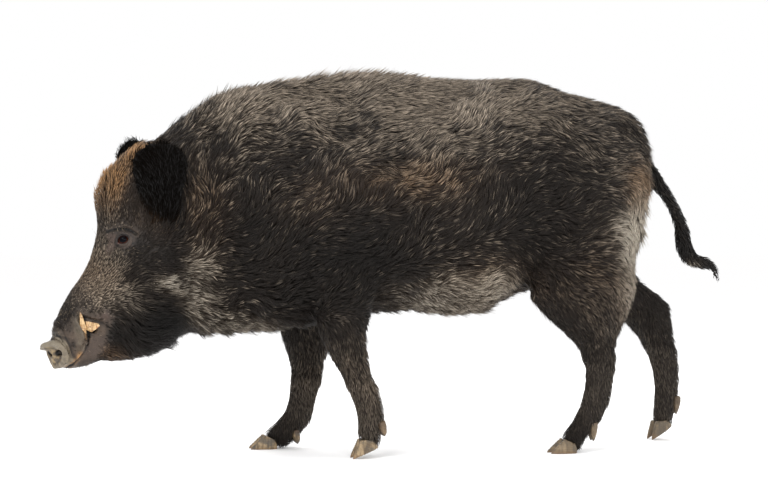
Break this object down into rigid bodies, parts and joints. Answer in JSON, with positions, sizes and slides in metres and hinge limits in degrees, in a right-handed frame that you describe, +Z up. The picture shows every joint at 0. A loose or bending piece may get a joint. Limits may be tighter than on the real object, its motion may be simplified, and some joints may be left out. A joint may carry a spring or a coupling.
{
  "type": "wild boar figure",
  "caption": "Life-size figure of a mature male wild boar walking with its head low, standing on its own hooves, with a bristly coat, tusks and a tufted tail.",
  "frame": {"origin": "on the floor, under the middle of the boar's bounding box", "axes": "+X towards the tail, -X towards the snout, -Y towards the boar's left side, +Z up"},
  "size_m": [1.6546, 0.399, 0.906],
  "materials": {
    "coat": "matt bristly coat over skin",
    "ear_fur": "matt short fur",
    "bare_skin": "satin bare skin",
    "snout_disc": "damp bare skin",
    "horn": "dull horn",
    "ivory": "polished tooth with brown cracks",
    "eye": "wet and glossy"
  },
  "bodies": {
    "root": {"ear_left": "ear_fur", "ear_right": "ear_fur", "eye_left": "eye", "eye_right": "eye", "front_left_dewclaw_inner": "horn", "front_left_dewclaw_outer": "horn", "front_left_hoof_inner": "horn", "front_left_hoof_outer": "horn", "front_left_lower_leg": "coat", "front_left_upper_leg": "coat", "front_right_dewclaw_inner": "horn", "front_right_dewclaw_outer": "horn", "front_right_hoof_inner": "horn", "front_right_hoof_outer": "horn", "front_right_lower_leg": "coat", "front_right_upper_leg": "coat", "head": "coat", "hind_left_dewclaw_inner": "horn", "hind_left_dewclaw_outer": "horn", "hind_left_hoof_inner": "horn", "hind_left_hoof_outer": "horn", "hind_left_lower_leg": "coat", "hind_left_upper_leg": "coat", "hind_right_dewclaw_inner": "horn", "hind_right_dewclaw_outer": "horn", "hind_right_hoof_inner": "horn", "hind_right_hoof_outer": "horn", "hind_right_lower_leg": "coat", "hind_right_upper_leg": "coat", "lower_jaw": "bare_skin", "lower_tusk_left": "ivory", "lower_tusk_right": "ivory", "neck": "coat", "snout_disc": "snout_disc", "tail": "coat", "trunk": "coat", "upper_tusk_left": "ivory", "upper_tusk_right": "ivory"}
  },
  "joints": []
}
